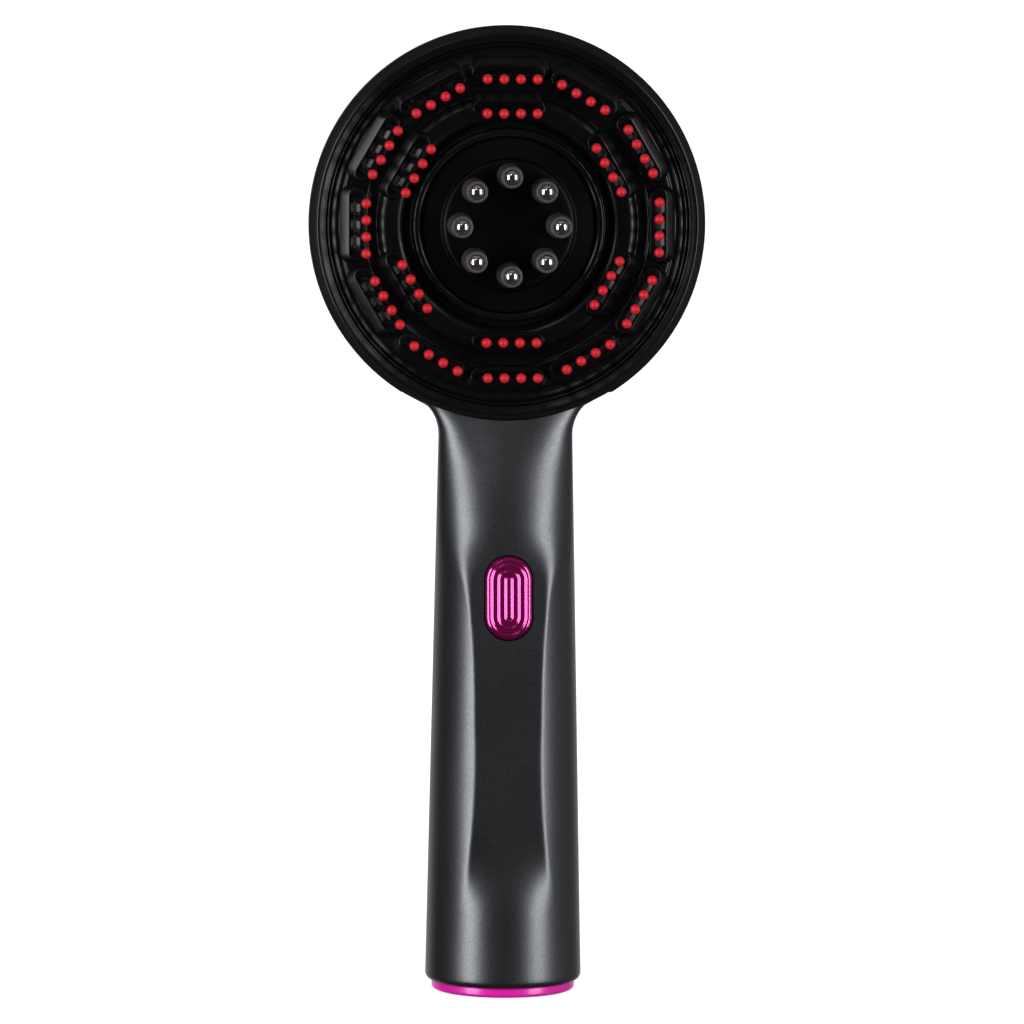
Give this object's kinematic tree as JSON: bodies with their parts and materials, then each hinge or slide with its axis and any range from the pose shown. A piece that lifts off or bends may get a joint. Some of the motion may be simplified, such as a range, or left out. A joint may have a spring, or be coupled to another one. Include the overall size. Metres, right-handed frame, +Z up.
{
  "type": "electric scalp massager",
  "caption": "Upright handheld scalp massager: round head with rings of ball-tipped comb pads and roller-ball oil nozzles, tapered round handle with a power button and a base cap.",
  "frame": {"origin": "centre of the base cap's flat bottom", "axes": "+Z up the handle to the head, -Y out of the working face, +X to the right seen from the front"},
  "size_m": [0.092, 0.0392, 0.225],
  "materials": {
    "pearl_charcoal": "satin pearl paint",
    "black_textured": "fine matte texture",
    "black_satin": "satin",
    "comb_nylon": "glossy, red ball tips on dark pins",
    "dark_plastic": "plain moulded",
    "tank_plastic": "translucent",
    "seal_rubber": "matte",
    "sleeve_plastic": "translucent grey brown",
    "white_acetal": "smooth",
    "polished_steel": "mirror polished",
    "magenta_metallised": "metallised magenta",
    "board_green": "solder mask",
    "switch_body": "moulded",
    "cell_wrap": "shrink wrap over the can",
    "nickel": "plated",
    "motor_steel": "plated",
    "weight_brass": "turned",
    "lead_red": "smooth insulation"
  },
  "bodies": {
    "housing": {"rear_housing": "pearl_charcoal", "handle_front_cover": "pearl_charcoal", "rim_ring": "black_textured", "comb_plate": "black_satin", "comb_retainer": "dark_plastic", "outer_comb_01": "comb_nylon", "outer_comb_02": "comb_nylon", "outer_comb_03": "comb_nylon", "outer_comb_04": "comb_nylon", "outer_comb_05": "comb_nylon", "outer_comb_06": "comb_nylon", "outer_comb_07": "comb_nylon", "outer_comb_08": "comb_nylon", "outer_comb_09": "comb_nylon", "outer_comb_10": "comb_nylon", "outer_comb_11": "comb_nylon", "outer_comb_12": "comb_nylon", "inner_comb_1": "comb_nylon", "inner_comb_2": "comb_nylon", "inner_comb_3": "comb_nylon", "inner_comb_4": "comb_nylon", "inner_comb_5": "comb_nylon", "inner_comb_6": "comb_nylon", "button_guide": "dark_plastic", "main_board": "board_green", "tact_switch": "switch_body", "battery": "cell_wrap", "battery_contacts": "nickel", "inner_chassis": "dark_plastic", "vibration_motor": "motor_steel", "motor_bracket": "dark_plastic", "base_cap": "magenta_metallised", "charge_socket": "nickel", "charge_board": "board_green", "tapping_screws": "motor_steel", "internal_leads": "lead_red"},
    "button": {"power_button": "magenta_metallised"},
    "switch": {"switch_plunger": "white_acetal"},
    "applicator": {"applicator_disc": "black_satin", "oil_tank": "tank_plastic", "tank_seal": "seal_rubber", "nozzle_sleeves": "sleeve_plastic"},
    "eccentric": {"motor_shaft": "motor_steel", "eccentric_weight": "weight_brass"},
    "plunger_1": {"valve_plunger_1": "white_acetal"},
    "ball_1": {"roller_ball_1": "polished_steel"},
    "plunger_2": {"valve_plunger_2": "white_acetal"},
    "ball_2": {"roller_ball_2": "polished_steel"},
    "plunger_3": {"valve_plunger_3": "white_acetal"},
    "ball_3": {"roller_ball_3": "polished_steel"},
    "plunger_4": {"valve_plunger_4": "white_acetal"},
    "ball_4": {"roller_ball_4": "polished_steel"},
    "plunger_5": {"valve_plunger_5": "white_acetal"},
    "ball_5": {"roller_ball_5": "polished_steel"},
    "plunger_6": {"valve_plunger_6": "white_acetal"},
    "ball_6": {"roller_ball_6": "polished_steel"},
    "plunger_7": {"valve_plunger_7": "white_acetal"},
    "ball_7": {"roller_ball_7": "polished_steel"},
    "plunger_8": {"valve_plunger_8": "white_acetal"},
    "ball_8": {"roller_ball_8": "polished_steel"}
  },
  "joints": [
    {"name": "button_press", "type": "slide", "parent": "housing", "child": "button", "axis": [0, 1, 0], "range_m": [0, 0.0006], "stiffness_N_per_m": 1500, "springref_m": -0.0003},
    {"name": "switch_press", "type": "slide", "parent": "housing", "child": "switch", "axis": [0, 1, 0], "range_m": [0, 0.0003]},
    {"name": "applicator_turn", "type": "hinge", "parent": "housing", "child": "applicator", "pos_m": [0, 0, 0.179], "axis": [0, -1, 0], "range_deg": [0, 30]},
    {"name": "motor_spin", "type": "hinge", "parent": "housing", "child": "eccentric", "pos_m": [0, 0.0035, 0.127], "axis": [0, 0, 1], "continuous": true},
    {"name": "ball_press_1", "type": "slide", "parent": "applicator", "child": "plunger_1", "axis": [0, 1, 0], "range_m": [0, 0.0005], "stiffness_N_per_m": 400, "springref_m": -0.0005},
    {"name": "ball_roll_1", "type": "hinge", "parent": "plunger_1", "child": "ball_1", "pos_m": [0, -0.0172, 0.1904], "axis": [1, 0, 0], "continuous": true},
    {"name": "ball_press_2", "type": "slide", "parent": "applicator", "child": "plunger_2", "axis": [0, 1, 0], "range_m": [0, 0.0005], "stiffness_N_per_m": 400, "springref_m": -0.0005},
    {"name": "ball_roll_2", "type": "hinge", "parent": "plunger_2", "child": "ball_2", "pos_m": [0.00806, -0.0172, 0.18706], "axis": [1, 0, 0], "continuous": true},
    {"name": "ball_press_3", "type": "slide", "parent": "applicator", "child": "plunger_3", "axis": [0, 1, 0], "range_m": [0, 0.0005], "stiffness_N_per_m": 400, "springref_m": -0.0005},
    {"name": "ball_roll_3", "type": "hinge", "parent": "plunger_3", "child": "ball_3", "pos_m": [0.0114, -0.0172, 0.179], "axis": [1, 0, 0], "continuous": true},
    {"name": "ball_press_4", "type": "slide", "parent": "applicator", "child": "plunger_4", "axis": [0, 1, 0], "range_m": [0, 0.0005], "stiffness_N_per_m": 400, "springref_m": -0.0005},
    {"name": "ball_roll_4", "type": "hinge", "parent": "plunger_4", "child": "ball_4", "pos_m": [0.00806, -0.0172, 0.17094], "axis": [1, 0, 0], "continuous": true},
    {"name": "ball_press_5", "type": "slide", "parent": "applicator", "child": "plunger_5", "axis": [0, 1, 0], "range_m": [0, 0.0005], "stiffness_N_per_m": 400, "springref_m": -0.0005},
    {"name": "ball_roll_5", "type": "hinge", "parent": "plunger_5", "child": "ball_5", "pos_m": [0, -0.0172, 0.1676], "axis": [1, 0, 0], "continuous": true},
    {"name": "ball_press_6", "type": "slide", "parent": "applicator", "child": "plunger_6", "axis": [0, 1, 0], "range_m": [0, 0.0005], "stiffness_N_per_m": 400, "springref_m": -0.0005},
    {"name": "ball_roll_6", "type": "hinge", "parent": "plunger_6", "child": "ball_6", "pos_m": [-0.00806, -0.0172, 0.17094], "axis": [1, 0, 0], "continuous": true},
    {"name": "ball_press_7", "type": "slide", "parent": "applicator", "child": "plunger_7", "axis": [0, 1, 0], "range_m": [0, 0.0005], "stiffness_N_per_m": 400, "springref_m": -0.0005},
    {"name": "ball_roll_7", "type": "hinge", "parent": "plunger_7", "child": "ball_7", "pos_m": [-0.0114, -0.0172, 0.179], "axis": [1, 0, 0], "continuous": true},
    {"name": "ball_press_8", "type": "slide", "parent": "applicator", "child": "plunger_8", "axis": [0, 1, 0], "range_m": [0, 0.0005], "stiffness_N_per_m": 400, "springref_m": -0.0005},
    {"name": "ball_roll_8", "type": "hinge", "parent": "plunger_8", "child": "ball_8", "pos_m": [-0.00806, -0.0172, 0.18706], "axis": [1, 0, 0], "continuous": true}
  ],
  "couplings": [
    {"joint": "switch_press", "follows": "button_press", "ratio": 0.5}
  ]
}
